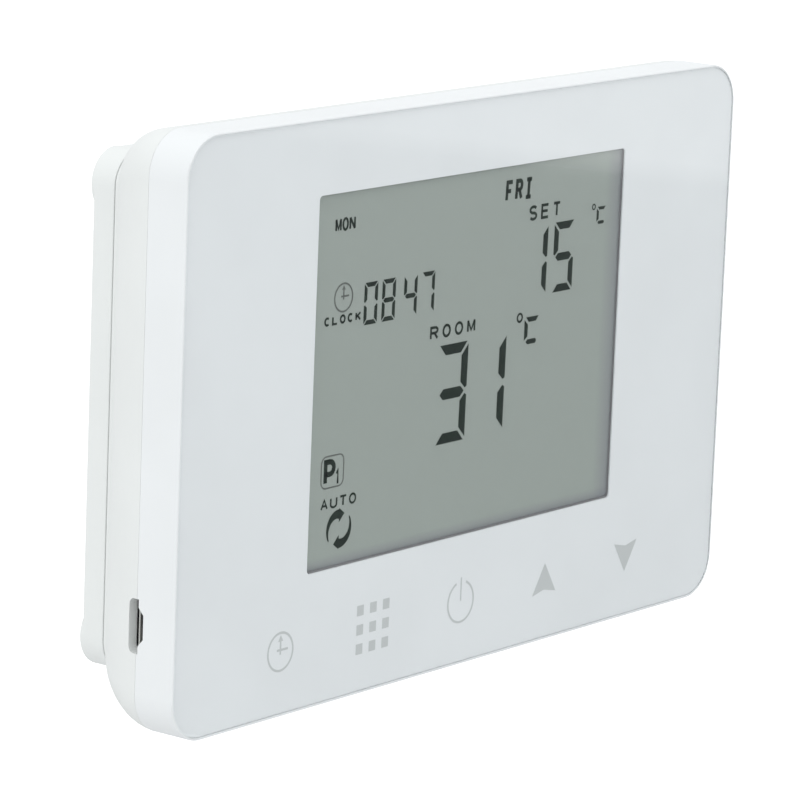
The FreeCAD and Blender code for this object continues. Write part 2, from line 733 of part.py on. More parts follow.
def make_usb_inlet():
    """The micro USB socket: a metal shell, the tongue inside it and the tongue's contacts."""
    def hexagon(inset):
        """The shell's section, narrow towards the front, drawn smaller by an inset."""
        tall = f"usb_half_length - {inset}"
        narrow = f"usb_narrow_half - {inset} / 2"
        front, rear = f"usb_front + {inset}", f"usb_rear - {inset}"
        shoulder = "usb_front + usb_chamfer"
        return polygon(at_depths([
            (rear, f"-usb_drop - ({tall})"), (rear, f"-usb_drop + ({tall})"),
            (shoulder, f"-usb_drop + ({tall})"), (front, f"-usb_drop + ({narrow})"),
            (front, f"-usb_drop - ({narrow})"), (shoulder, f"-usb_drop - ({tall})")]))

    def bar(front, rear, height, half_width):
        """A rectangle of depth and height about one height."""
        low, high = f"{height} - {half_width}", f"{height} + {half_width}"
        return polygon(at_depths([(front, low), (rear, low), (rear, high), (front, high)]))

    shell = new_body("usb_shell")
    pad_across(shell, USB_MOUTH, "usb_length", [hexagon("0"), hexagon("usb_shell_wall")])
    tongue = new_body("usb_tongue")
    pad_across(tongue, f"{USB_MOUTH} + usb_length - tongue_base", "tongue_base",
               [hexagon("(usb_shell_wall + coil_play)")])
    pad_across(tongue, f"{USB_MOUTH} + tongue_setback", "usb_length - tongue_setback - tongue_base",
               [bar("tongue_front", "tongue_rear", "-usb_drop", "tongue_half_width")])
    contacts = new_body("usb_contacts")
    pad_across(contacts, f"{USB_MOUTH} + 1.5 * tongue_setback",
               "usb_length - 1.5 * tongue_setback - tongue_base",
               [bar("tongue_front - pad_thickness", "tongue_front", f"-usb_drop + {number} * pad_pitch",
                    "pad_half_width") for number in range(-2, 3)])


# ---------------------------------------------------------------- rear housing
def shell_sections(body, inset, back_inset):
    """Outlines of the curved shell from the seam to its flat back, moved inwards by one inset at its
    sides and by another at its back."""
    bulge = value("shell_bulge")
    sketches = []
    for step in range(SHELL_STEPS + 1):
        share = step / SHELL_STEPS
        lean = 1 - (1 - share ** bulge) ** (1 / bulge)
        width = f"face_width - 2 * shell_inset_x * {lean} - 2 * ({inset})"
        height = f"face_height - 2 * shell_inset_z * {lean} - 2 * ({inset})"
        radius = f"face_radius + (shell_radius - face_radius) * {lean} - ({inset})"
        front = "seam_depth + seam_gap"
        depth = f"{front} + (shell_depth - {front}) * {share} - ({back_inset}) * {share}"
        sketches.append(sketch_at_depth(body, depth, [rounded("0", "0", width, height, radius)]))
    return sketches


def loft(body, kind, sketches):
    """A smooth body or hollow through a row of outlines."""
    feature = body.newObject(f"PartDesign::{kind}Loft", f"{body.Name}_loft")
    feature.Profile = sketches[0]
    feature.Sections = [(sketch, [""]) for sketch in sketches[1:]]


def make_rear_housing():
    """The curved back: shell, plinth, battery tray, screw tubes, hook windows and vents."""
    body = new_body("rear_housing")
    loft(body, "Additive", shell_sections(body, "0", "0"))
    loft(body, "Subtractive", shell_sections(body, "shell_wall", "shell_back_wall"))
    pad(body, "shell_depth - plinth_height / 2", PLINTH_REAR,
        [rounded("0", "-plate_drop", "plate_width", "plate_height", "plate_radius")])
    inside_back = "shell_depth - shell_back_wall / 2"
    tray_height = "2 * cell_radius + cell_pitch + tray_margin"
    tray_middle = "-cell_upper_drop - cell_pitch / 2"
    tray_width = "2 * tray_half_width"
    pad(body, "tray_front", inside_back, [
        rectangle("0", tray_middle, f"{tray_width} + 2 * tray_wall", f"{tray_height} + 2 * tray_wall")])
    pad(body, "tube_depth", inside_back, [circle(x, z, "tube_radius") for x, z in CASE_SCREWS])
    pocket(body, "tray_front + tray_floor", PAST_PLINTH,
           [rectangle("0", tray_middle, tray_width, tray_height)])
    pocket(body, "tube_depth + tube_floor", PAST_PLINTH,
           [circle(x, z, "tube_bore_radius") for x, z in CASE_SCREWS])
    pocket(body, f"tube_depth - {CUT_PAST}", PAST_PLINTH,
           [circle(x, z, "tube_hole_radius") for x, z in CASE_SCREWS])
    cut_door_channel(body)
    cut_hook_windows(body)
    cut_vents(body)
    cut_usb_recess(body)
    round_edges(body, PLINTH_REAR, "edge_fillet")


def cut_door_channel(body):
    """The channel that the battery door slides down in, with a groove along each side."""
    half = "door_half_width + door_clearance"
    wide = "door_half_width + door_tongue + door_clearance"
    front = "door_inner_depth - door_clearance"
    step = "door_inner_depth + door_tongue_thickness + door_clearance"
    pocket_upward(body, BELOW_CASE, f"-door_top_drop + door_clearance - ({BELOW_CASE})", [
        polygon(from_x_and_depth([
            (f"-({wide})", front), (wide, front), (wide, step), (half, step), (half, PAST_PLINTH),
            (f"-({half})", PAST_PLINTH), (f"-({half})", step), (f"-({wide})", step)]))])


def cut_hook_windows(body):
    """A tall window for each hook: it passes the hook's lip once the controller is lifted."""
    above = "hook_stem / 2 + hook_play"
    below = "hook_stem / 2 + hook_travel + window_play"
    pocket(body, "shell_depth - 2 * shell_wall", PAST_PLINTH, [
        rectangle(x, f"{z} + ({above} - ({below})) / 2", "hook_width + 2 * window_play",
                  f"{above} + {below}") for x, z in HOOKS])


def cut_vents(body):
    """Slots in the underside that let room air reach the sensor."""
    slots = []
    for number in range(VENT_COUNT):
        left = f"vent_start + {number} * vent_pitch"
        right = f"{left} + vent_width"
        slots.append(polygon(from_x_and_depth([(left, "vent_front"), (right, "vent_front"),
                                               (right, "vent_rear"), (left, "vent_rear")])))
    pocket_upward(body, BELOW_CASE, "shell_inset_z + shell_wall", slots)


def cut_usb_recess(body):
    """The rear half of the USB opening: square at the seam and round-cornered behind it."""
    pocket_across(body, LEFT_OF_CASE, "front_wall + 2", [rounded(
        "(seam_depth + recess_depth) / 2 - overall_depth - recess_radius", "-usb_drop",
        "recess_depth - seam_depth + 2 * recess_radius", "2 * recess_half_length", "recess_radius")])


def make_battery_door():
    """The door that slides down out of the back, with side tongues and thumb grooves."""
    body = new_body("battery_door")
    wide = "door_half_width + door_tongue"
    step = "door_inner_depth + door_tongue_thickness"
    rear = "door_inner_depth + door_thickness"
    bottom = "-plate_drop - plate_height / 2"
    pad_upward(body, bottom, f"-door_top_drop - ({bottom})", [polygon(from_x_and_depth([
        (f"-({wide})", "door_inner_depth"), (wide, "door_inner_depth"), (wide, step),
        ("door_half_width", step), ("door_half_width", rear), ("-door_half_width", rear),
        ("-door_half_width", step), (f"-({wide})", step)]))])
    pocket(body, f"{rear} - groove_cut", f"{rear} + {CUT_PAST}", [
        slot("0", f"{bottom} + groove_rise + {groove} * groove_pitch", "groove_length", "groove_width")
        for groove in range(GROOVE_COUNT)])


def make_cells():
    """Two AAA cells that lie side by side and point opposite ways."""
    for name, height in CELLS:
        side = 1 if name == "upper" else -1
        start = f"-{side} * cell_length / 2"
        turn = TO_THE_RIGHT if side == 1 else TO_THE_LEFT
        can = cylinder(f"{name}_can", "cell_radius", "cell_length", start, "cell_depth", height, turn)
        nub = cylinder(f"{name}_nub", "nub_radius", "nub_length", f"{side} * cell_length / 2",
                       "cell_depth", height, turn)
        cell = document.addObject("Part::MultiFuse", f"battery_cell_{name}")
        cell.Shapes = [can, nub]
        subparts.append(cell)


def make_battery_contacts():
    """A spring at each flat end, and a sheet contact behind every spring and at every nub."""
    wire = "contact_wire_radius"
    wall = "tray_half_width - contact_thickness"
    springs = []
    for name, height in CELLS:
        side = -1 if name == "upper" else 1
        turn = TO_THE_RIGHT if side == -1 else TO_THE_LEFT
        springs.append(coil(f"battery_spring_{name}", "contact_spring_radius", wire, 3,
                            f"{wall} - cell_length / 2 - 2 * {wire} - 2 * coil_play",
                            f"{side} * ({wall} - {wire} - coil_play)", "cell_depth", height, turn))
    group("battery_springs", springs)
    sheet_height = "2 * contact_half_depth"
    middle = "-cell_upper_drop - cell_pitch / 2"
    end = f"({wall} + contact_thickness / 2)"
    front, rear = "cell_depth - contact_half_depth", "cell_depth + contact_half_depth"
    plate_piece("battery_contacts", front, rear,
                [rectangle(end, height, "contact_thickness", sheet_height) for _, height in CELLS])
    plate_piece("battery_link", front, rear,
                [rectangle(f"-{end}", middle, "contact_thickness", f"cell_pitch + {sheet_height}")])


def make_screws(kind, points, seat):
    """Pan-head screws of one kind that enter from the rear, with a cross recess in each head."""
    top = f"{seat} + {kind}_head_height"
    body = plate_piece(f"{kind}s", f"{seat} - {kind}_length", seat,
                       [circle(x, z, f"{kind}_radius") for x, z in points])
    pad(body, seat, top, [circle(x, z, f"{kind}_head_radius") for x, z in points])
    reach = f"1.3 * {kind}_head_radius"
    for long_side, short_side in ((reach, "cross_width"), ("cross_width", reach)):
        pocket(body, f"{top} - cross_cut", f"{top} + {CUT_PAST}",
               [rectangle(x, z, long_side, short_side) for x, z in points])


# ---------------------------------------------------------------- wall plate
def make_wall_plate():
    """The plate on the wall: skin, skirt, ribs, corner pads, screw slots and four hooks."""
    body = new_body("wall_plate")
    skin_rear = "plate_front + plate_wall"
    pad(body, "plate_front", skin_rear,
        [rounded("0", "-plate_drop", "plate_width", "plate_height", "plate_radius")])
    pad(body, skin_rear, "plate_rear", [
        rounded("0", "-plate_drop", "plate_width", "plate_height", "plate_radius"),
        rounded("0", "-plate_drop", "plate_width - 2 * plate_wall", "plate_height - 2 * plate_wall",
                "plate_radius - plate_wall")])
    pad(body, skin_rear, "overall_depth", [
        circle(f"{side_x} * (plate_width / 2 - pad_radius)",
               f"{side_z} * (plate_height / 2 - pad_radius) - plate_drop", "pad_radius")
        for side_x in (-1, 1) for side_z in (-1, 1)])
    pad(body, skin_rear, "plate_rear - rib_setback", [
        rectangle("0", height, "plate_width - 2 * plate_wall", "rib_width")
        for height in ("hook_upper", "hook_lower")])
    screw_points = [f"{side} * wall_screw_half_pitch" for side in (-1, 1)]
    pad(body, skin_rear, "overall_depth", [
        slot(x, "0", "wall_screw_slot + screw_boss_margin", "wall_screw_width + screw_boss_margin")
        for x in screw_points])
    pocket(body, f"plate_front - {CUT_PAST}", f"overall_depth + {CUT_PAST}",
           [slot(x, "0", "wall_screw_slot", "wall_screw_width") for x in screw_points])
    pad(body, "hook_front", "plate_front", [rectangle(x, z, "hook_width", "hook_stem") for x, z in HOOKS])
    pad(body, "hook_front", "hook_front + hook_lip_thickness", [
        rectangle(x, f"{z} + hook_lip / 2", "hook_width", "hook_lip + hook_stem") for x, z in HOOKS])
    round_edges(body, "plate_front", "edge_fillet")


# ---------------------------------------------------------------- checks and files
def check_document():
    """Stop if any object failed, or if a cut removed nothing or a pad added nothing."""
    for item in document.Objects:
        if "Invalid" in item.State or "Error" in item.State:
            raise RuntimeError(f"{item.Label} did not compute: {item.State}")
        base = getattr(item, "BaseFeature", None)
        if item.TypeId in ("PartDesign::Pad", "PartDesign::Pocket") and base is not None:
            gain = item.Shape.Volume - base.Shape.Volume
            if (gain <= 0) == (item.TypeId == "PartDesign::Pad"):
                raise RuntimeError(f"{item.Label} changed the volume by {gain:.3f}")


def write_parts():
    """Write each sub-part's shape to its own STEP file."""
    os.makedirs("parts", exist_ok=True)
    for item in subparts:
        if item.Shape.isNull() or not item.Shape.isValid():
            raise RuntimeError(f"{item.Label} has no valid shape")
        item.Shape.exportStep(f"parts/{item.Label}.step")
        print(f"{item.Label}: {len(item.Shape.Solids)} solid(s), {item.Shape.Volume:.1f} mm3")


make_front_housing()
make_touch_panel()
make_panel_print()
make_display()
make_backlight_leds()
make_lcd_holder()
make_zebra_strip()
make_main_board()
make_touch_springs()
make_chips()
make_capacitors()
make_temperature_sensor()
make_radio()
make_usb_inlet()
make_rear_housing()
make_battery_door()
make_cells()
make_battery_contacts()
make_screws("board_screw", BOARD_SCREWS, BOARD_REAR)
make_screws("case_screw", CASE_SCREWS, "tube_depth + tube_floor")
make_wall_plate()
document.recompute()
check_document()
write_parts()
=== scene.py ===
"""Looks of the programmable room thermostat: finishes, display marks and key symbols.

All lengths named below are in millimetres in the frame of the part: +X to the right seen from the
front, +Y into the wall, +Z up. Places on the face are measured from the middle of the face.
"""
import json
import math
import bmesh
import bpy
from mathutils import Matrix, Vector


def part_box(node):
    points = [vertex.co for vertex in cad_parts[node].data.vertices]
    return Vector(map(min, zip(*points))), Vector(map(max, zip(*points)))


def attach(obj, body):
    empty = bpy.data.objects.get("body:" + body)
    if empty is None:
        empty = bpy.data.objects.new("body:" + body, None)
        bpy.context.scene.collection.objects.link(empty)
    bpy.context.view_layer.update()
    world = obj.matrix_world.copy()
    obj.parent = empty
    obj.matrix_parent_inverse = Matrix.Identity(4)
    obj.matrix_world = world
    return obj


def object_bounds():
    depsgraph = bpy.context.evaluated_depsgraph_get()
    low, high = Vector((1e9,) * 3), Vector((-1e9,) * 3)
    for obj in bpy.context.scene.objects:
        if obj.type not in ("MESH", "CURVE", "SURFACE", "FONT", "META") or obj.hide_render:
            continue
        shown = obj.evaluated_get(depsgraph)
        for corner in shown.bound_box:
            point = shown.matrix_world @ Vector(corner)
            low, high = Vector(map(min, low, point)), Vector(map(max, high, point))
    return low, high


MM = 0.001
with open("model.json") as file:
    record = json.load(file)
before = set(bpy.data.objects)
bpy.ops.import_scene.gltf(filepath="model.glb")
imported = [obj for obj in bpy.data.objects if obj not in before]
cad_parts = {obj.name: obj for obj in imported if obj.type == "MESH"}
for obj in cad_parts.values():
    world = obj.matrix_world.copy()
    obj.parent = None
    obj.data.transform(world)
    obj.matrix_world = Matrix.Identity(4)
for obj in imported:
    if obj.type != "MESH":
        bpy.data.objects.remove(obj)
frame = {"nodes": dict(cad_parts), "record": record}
cad_low, cad_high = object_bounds()
face_y = cad_low.y
print_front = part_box("panel_print")[0].y
display_low, display_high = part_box("lcd_front_polariser")

# the camera stands to the left of the face and a little above it
CAMERA_LENS = 209.6
CAMERA_DISTANCE = 712.8
CAMERA_AZIMUTH = math.radians(-52.57)
CAMERA_ELEVATION = math.radians(11.41)
CAMERA_ROLL = math.radians(2.24)
CAMERA_AIM = (-18.1, -0.1)

# the floor lies low enough for the battery door to slide out above it
FLOOR_DROP = 30.0
FLOOR_SIZE = 40000.0
# the dark card that the panel mirrors: distance ahead and height of its foot and of its top
CARD_FOOT = (45.0, -74.0)
CARD_TOP = (150.0, 17.0)
CARD_HALF_WIDTH = 200.0
CARD_TILT = math.radians(5.5)
CARD_FADE = 6.0
SKY_COLOUR = (0.97, 0.985, 1.0, 1)
SKY_STRENGTH = 0.945
# each lamp: strength, apparent size, azimuth and elevation, the last three in degrees
LAMPS = {
    "overhead": (0.52, 80, -35, 78),
    "side": (0.42, 60, -80, 25),
}

# the flat marks are thin solids, a hair in front of the surface that carries them
MARK_THICKNESS = 0.02
MARK_CLEARANCE = 0.01
SYMBOL_CLEARANCE = 0.005
PRINT_BOND = 0.01
# how far the marks are moved so that they are seen in place through the clear panel
DISPLAY_SHIFT = (0.97, -0.26)
SYMBOL_SHIFT = (0.25, -0.15)


# ---------------------------------------------------------------- material helpers
class Finish:
    """A material under construction: its Principled shader, and short ways to add nodes to it."""

    def __init__(self, name, colour, roughness, **settings):
        self.material = bpy.data.materials.new(name)
        self.material.use_nodes = True
        self.tree = self.material.node_tree
        self.shader = self.tree.nodes["Principled BSDF"]
        self.colour = colour
        self.shader.inputs["Base Color"].default_value = (*colour, 1)
        self.shader.inputs["Roughness"].default_value = roughness
        for socket, value in settings.items():
            self.shader.inputs[socket.replace("_", " ")].default_value = value
        self.place = self.node("ShaderNodeTexCoord").outputs["Object"]

    def node(self, kind, **properties):
        """Add a node and set its properties."""
        made = self.tree.nodes.new(kind)
        for name, value in properties.items():
            setattr(made, name, value)
        return made

    def link(self, source, target):
        """Join two sockets."""
        self.tree.links.new(source, target)

    def grain(self, size, detail=3.0, stretch=(1, 1, 1)):
        """Noise whose lumps are about size millimetres, as a number from 0 to 1."""
        mapping = self.node("ShaderNodeMapping")
        mapping.inputs["Scale"].default_value = stretch
        self.link(self.place, mapping.inputs["Vector"])
        noise = self.node("ShaderNodeTexNoise")
        noise.inputs["Scale"].default_value = 1 / (size * MM)
        noise.inputs["Detail"].default_value = detail
        self.link(mapping.outputs["Vector"], noise.inputs["Vector"])
        return noise.outputs["Fac"]

    def spread(self, source, low, high, start=0.0, end=1.0):
        """Move a number from the range start to end into the range low to high."""
        stretch = self.node("ShaderNodeMapRange")
        limits = {"From Min": start, "From Max": end, "To Min": low, "To Max": high}
        for socket, value in limits.items():
            stretch.inputs[socket].default_value = value
        self.link(source, stretch.inputs["Value"])
        return stretch.outputs["Result"]

    def tint(self, source, other, into=None):
        """Blend the base colour, or into, towards another colour by a number from 0 to 1."""
        mix = self.node("ShaderNodeMix", data_type="RGBA")
        first, second, blended = mix.inputs[6], mix.inputs[7], mix.outputs[2]
        self.link(source, mix.inputs["Factor"])
        if into is None:
            first.default_value = (*self.colour, 1)
        else:
            self.link(into, first)
        second.default_value = (*other, 1)
        self.link(blended, self.shader.inputs["Base Color"])
        return blended

    def roughen(self, source, low, high):
        """Let the roughness vary between two values."""
        self.link(self.spread(source, low, high, 0.3, 0.7), self.shader.inputs["Roughness"])

    def emboss(self, source, height):
        """Raise the surface by a number from 0 to 1 times a height in millimetres."""
        bump = self.node("ShaderNodeBump")
        bump.inputs["Distance"].default_value = height * MM
        self.link(source, bump.inputs["Height"])
        self.link(bump.outputs["Normal"], self.shader.inputs["Normal"])


def shade(colour, factor):
    """A colour made darker or lighter."""
    return tuple(min(1.0, part * factor) for part in colour)


def moulded(name, colour, roughness, grain_size, grain_height, **settings):
    """Moulded plastic: a fine spark-eroded grain, faint flow marks and a slightly uneven gloss."""
    finish = Finish(name, colour, roughness, **settings)
    finish.tint(finish.spread(finish.grain(18.0, 2.0), 0.0, 1.0, 0.35, 0.65), shade(colour, 0.975))
    fine = finish.grain(grain_size)
    finish.roughen(fine, roughness - 0.06, roughness + 0.08)
    finish.emboss(fine, grain_height)
    return finish


def acrylic(name):
    """Clear acrylic that lets the lamps through to what is printed behind it."""
    finish = Finish(name, (1.0, 1.0, 1.0), 0.015, Transmission_Weight=1.0, IOR=1.49)
    finish.emboss(finish.grain(9.0, 1.0), 0.0004)
    clear = finish.node("ShaderNodeBsdfTransparent")
    path = finish.node("ShaderNodeLightPath")
    either = finish.node("ShaderNodeMath", operation="MAXIMUM")
    finish.link(path.outputs["Is Shadow Ray"], either.inputs[0])
    finish.link(path.outputs["Is Diffuse Ray"], either.inputs[1])
    mix = finish.node("ShaderNodeMixShader")
    finish.link(either.outputs[0], mix.inputs["Fac"])
    finish.link(finish.shader.outputs["BSDF"], mix.inputs[1])
    finish.link(clear.outputs["BSDF"], mix.inputs[2])
    finish.link(mix.outputs["Shader"], finish.tree.nodes["Material Output"].inputs["Surface"])
    return finish


def display_film_with_painted_shade(name, colour):
    """The grey-green polariser with painted shade: it turns violet-grey towards its right and lower
    edges, where the window's border shades it.
    """
    finish = Finish(name, colour, 0.22)
    axes = finish.node("ShaderNodeSeparateXYZ")
    finish.link(finish.place, axes.inputs["Vector"])
    # painted shade: the violet-grey that the right and lower edges are darkened towards, standing in
    # for the window border's shadow on the display
    painted_edge_shade = (0.22, 0.22, 0.26)
    right = finish.spread(axes.outputs["X"], 0.0, 0.6,
                          display_high.x - 5.5 * MM, display_high.x - 1.0 * MM)
    low = finish.spread(axes.outputs["Z"], 0.6, 0.0,
                        display_low.z + 1.3 * MM, display_low.z + 3.3 * MM)
    # blend the painted edge shade into the film's own colour, first along the right edge, then along
    # the lower edge
    first = finish.tint(right, painted_edge_shade)
    second = finish.tint(low, painted_edge_shade, first)
    speckle = finish.spread(finish.grain(0.15, 2.0), 0.0, 0.12, 0.3, 0.7)
    finish.tint(speckle, shade(colour, 0.8), second)
    return finish


def metal(name, colour, roughness, brush=(1, 1, 1), size=0.3):
    """Metal with fine marks, drawn out along one direction by brush."""
    finish = Finish(name, colour, roughness, Metallic=1.0)
    marks = finish.grain(size, 4.0, brush)
    finish.roughen(marks, roughness - 0.08, roughness + 0.12)
    finish.emboss(marks, 0.004)
    return finish


def striped(name, colour, other, pitch, roughness):
    """Thin layers of two colours side by side along X, as in a conductive rubber strip."""
    finish = Finish(name, colour, roughness)
    wave = finish.node("ShaderNodeTexWave", bands_direction="X")
    wave.inputs["Scale"].default_value = math.tau / (20 * pitch * MM)
    finish.link(finish.place, wave.inputs["Vector"])
    finish.tint(finish.spread(wave.outputs["Fac"], 0.0, 1.0, 0.45, 0.55), other)
    finish.emboss(wave.outputs["Fac"], 0.02)
    return finish


def circuit_board(name, colour, copper):
    """Solder mask over copper tracks, which show as a lighter, slightly raised pattern."""
    finish = Finish(name, colour, 0.32, Coat_Weight=0.4, Coat_Roughness=0.15)
    bricks = finish.node("ShaderNodeTexBrick", offset=0.37, squash=0.7)
    pattern = {"Scale": 1 / (9.0 * MM), "Mortar Size": 0.045, "Mortar Smooth": 0.1}
    for socket, value in pattern.items():
        bricks.inputs[socket].default_value = value
    turned = finish.node("ShaderNodeMapping")
    turned.inputs["Rotation"].default_value = (math.radians(90), 0, 0)
    finish.link(finish.place, turned.inputs["Vector"])
    finish.link(turned.outputs["Vector"], bricks.inputs["Vector"])
    tracks = bricks.outputs["Fac"]
    finish.tint(finish.spread(tracks, 0.0, 0.8), copper)
    finish.emboss(tracks, 0.03)
    return finish


def wrapped_cell(name, colour, band):
    """A cell's printed sleeve: a dark body with a coloured band towards its positive end."""
    finish = Finish(name, colour, 0.28, Coat_Weight=0.5)
    axes = finish.node("ShaderNodeSeparateXYZ")
    finish.link(finish.place, axes.inputs["Vector"])
    finish.tint(finish.spread(axes.outputs["X"], 0.0, 1.0, 9.9 * MM, 10.1 * MM), band)
    finish.roughen(finish.grain(0.6), 0.22, 0.36)
    return finish


HOUSING = (0.810, 0.832, 0.836)
REAR = (0.788, 0.808, 0.794)
PRINT = (0.790, 0.824, 0.834)
DISPLAY = (0.366, 0.413, 0.380)
SEGMENT = (0.006, 0.022, 0.011)
SYMBOL = (0.560, 0.592, 0.590)
FINISHES = {
    "housing_white": moulded("housing_plastic", HOUSING, 0.34, 0.25, 0.002),
    "rear_white": moulded("rear_plastic", REAR, 0.48, 0.18, 0.006),
    "panel_clear": acrylic("panel_acrylic"),
    "print_white": moulded("panel_ink", PRINT, 0.5, 0.05, 0.0005),
    "foam_black": moulded("gasket_foam", (0.230, 0.233, 0.240), 0.9, 0.2, 0.05),
    "polariser_grey": display_film_with_painted_shade("polariser_film_painted_shade", DISPLAY),
    "lcd_glass": moulded("display_glass", (0.72, 0.78, 0.76), 0.08, 5.0, 0.0005,
                         Transmission_Weight=0.6),
    "film_white": moulded("diffuser_film_white", (0.86, 0.87, 0.88), 0.6, 0.08, 0.002),
    "guide_clear": moulded("light_guide_acrylic", (0.88, 0.92, 0.93), 0.12, 1.2, 0.002,
                           Transmission_Weight=0.7),
    "led_package": moulded("led_resin", (0.86, 0.83, 0.66), 0.25, 0.3, 0.003),
    "holder_white": moulded("holder_plastic", (0.80, 0.81, 0.80), 0.45, 0.2, 0.004),
    "zebra_rubber": striped("zebra_rubber_layers", (0.72, 0.71, 0.68), (0.03, 0.03, 0.03),
                            0.25, 0.7),
    "board_green": circuit_board("board_mask", (0.012, 0.115, 0.045), (0.035, 0.230, 0.085)),
    "chip_black": moulded("chip_epoxy", (0.022, 0.022, 0.024), 0.55, 0.12, 0.008),
    "steel": metal("steel_zinc", (0.86, 0.86, 0.83), 0.45, (1, 1, 6)),
    "nickel": metal("nickel_plate", (0.70, 0.68, 0.63), 0.22, (6, 1, 1)),
    "can_aluminium": metal("can_metal", (0.74, 0.75, 0.77), 0.30, (1, 6, 1)),
    "cell_can": wrapped_cell("cell_sleeve", (0.030, 0.032, 0.036), (0.560, 0.330, 0.090)),
    "radio_blue": circuit_board("radio_mask", (0.012, 0.050, 0.190), (0.035, 0.110, 0.320)),
    "copper": metal("copper_wire", (0.80, 0.42, 0.25), 0.25, (1, 1, 6)),
    "gold_contact": metal("gold_plate", (0.86, 0.66, 0.30), 0.20),
    "resistor_grey": moulded("resistor_ceramic", (0.10, 0.10, 0.11), 0.5, 0.1, 0.004),
}


def dress_nodes():
    """Give every CAD node the finish of its own material slot."""
    for part in frame["record"]["subparts"]:
        for place in frame["nodes"][part["node"]].material_slots:
            place.material = FINISHES[part["material_slot"]].material


def bond_print():
    """Sink the print into the acrylic by a hair, so that no two surfaces lie in one plane."""
    growth = frame["nodes"]["panel_print"].modifiers.new("bond", "DISPLACE")
    growth.mid_level = 0.0
    growth.strength = PRINT_BOND * MM


# ---------------------------------------------------------------- flat marks
def strip(points, width, closed=False):
    """Four-sided faces that follow a line of points at one width."""
    count = len(points)
    sides = []
    for index, (x, z) in enumerate(points):
        before = points[index - 1] if closed or index else None
        after = points[(index + 1) % count] if closed or index < count - 1 else None
        ahead = Vector((after[0] - x, after[1] - z)).normalized() if after else None
        behind = Vector((x - before[0], z - before[1])).normalized() if before else None
        along = (ahead + behind).normalized() if after and before else ahead or behind
        across = Vector((-along.y, along.x))
        bend = max(0.7, across.dot(Vector((-(ahead or behind).y, (ahead or behind).x))))
        reach = across * (width / 2 / bend)
        sides.append(((x + reach.x, z + reach.y), (x - reach.x, z - reach.y)))
    pairs = zip(sides, sides[1:] + sides[:1]) if closed else zip(sides, sides[1:])
    return [[first[0], second[0], second[1], first[1]] for first, second in pairs]


def arc(x, z, radius_x, radius_z, start, end, steps=16):
    """Points on an ellipse between two angles in degrees."""
    turns = (math.radians(start + (end - start) * step / steps) for step in range(steps + 1))
    return [(x + radius_x * math.cos(turn), z + radius_z * math.sin(turn)) for turn in turns]


def ring(x, z, radius_x, radius_z, width, steps=40):
    """A closed round line."""
    return strip(arc(x, z, radius_x, radius_z, 0, 360, steps)[:-1], width, closed=True)


def glyph(letter, w):
    """The centre lines of a letter of width w and height 1, as lists of points."""
    bowl = [(0, 0), (0, 1), *arc(0.58 * w, 0.75, 0.42 * w, 0.25, 90, -90, 8), (0, 0.5)]
    deep_bowl = [(0, 0), (0, 1), *arc(0.5 * w, 0.7, 0.5 * w, 0.3, 90, -90, 8), (0, 0.4)]
    lines = {
        "A": [[(0, 0), (w / 2, 1), (w, 0)], [(0.2 * w, 0.34), (0.8 * w, 0.34)]],
        "C": [arc(w / 2, 0.5, w / 2, 0.5, 48, 312)],
        "E": [[(w, 1), (0, 1), (0, 0), (w, 0)], [(0, 0.52), (0.9 * w, 0.52)]],
        "F": [[(0, 0), (0, 1), (w, 1)], [(0, 0.5), (0.8 * w, 0.5)]],
        "I": [[(w / 2, 0), (w / 2, 1)], [(0, 0), (w, 0)], [(0, 1), (w, 1)]],
        "K": [[(0, 0), (0, 1)], [(w, 1), (0, 0.36)], [(0.32 * w, 0.57), (w, 0)]],
        "L": [[(0, 1), (0, 0), (w, 0)]],
        "M": [[(0, 0), (0, 1)], [(0, 1), (w / 2, 0.12), (w, 1)], [(w, 0), (w, 1)]],
        "N": [[(0, 0), (0, 1)], [(0, 1), (w, 0)], [(w, 0), (w, 1)]],
        "O": [arc(w / 2, 0.5, w / 2, 0.5, 90, 450, 28)],
        "P": [deep_bowl],
        "R": [bowl, [(0.55 * w, 0.5), (w, 0)]],
        "S": [arc(w / 2, 0.75, w / 2, 0.25, 30, 270, 12)[:-1]
              + arc(w / 2, 0.25, w / 2, 0.25, 90, -150, 12)],
        "T": [[(0, 1), (w, 1)], [(w / 2, 1), (w / 2, 0)]],
        "U": [[(0, 1), *arc(w / 2, 0.32, w / 2, 0.32, 180, 360, 12), (w, 1)]],
        "1": [[(0, 0.72), (w, 1), (w, 0)]],
    }
    return lines[letter]


def lettering(text, left, low, height, width, pitch, weight, slant=0.0):
    """A word, from its lower left corner, its letters' size and pitch and the width of its strokes."""
    faces = []
    scale = height - weight
    for number, letter in enumerate(text):
        start = left + weight / 2 + number * pitch
        for line in glyph(letter, (width - weight) / scale):
            points = [(start + (x + slant * z) * scale, low + weight / 2 + z * scale) for x, z in line]
            faces += strip(points, weight)
    return faces


SEGMENTS_OF = {
    "0": "abcdef",
    "1": "bc",
    "3": "abcdg",
    "4": "bcfg",
    "5": "acdfg",
    "7": "abc",
    "8": "abcdefg",
}


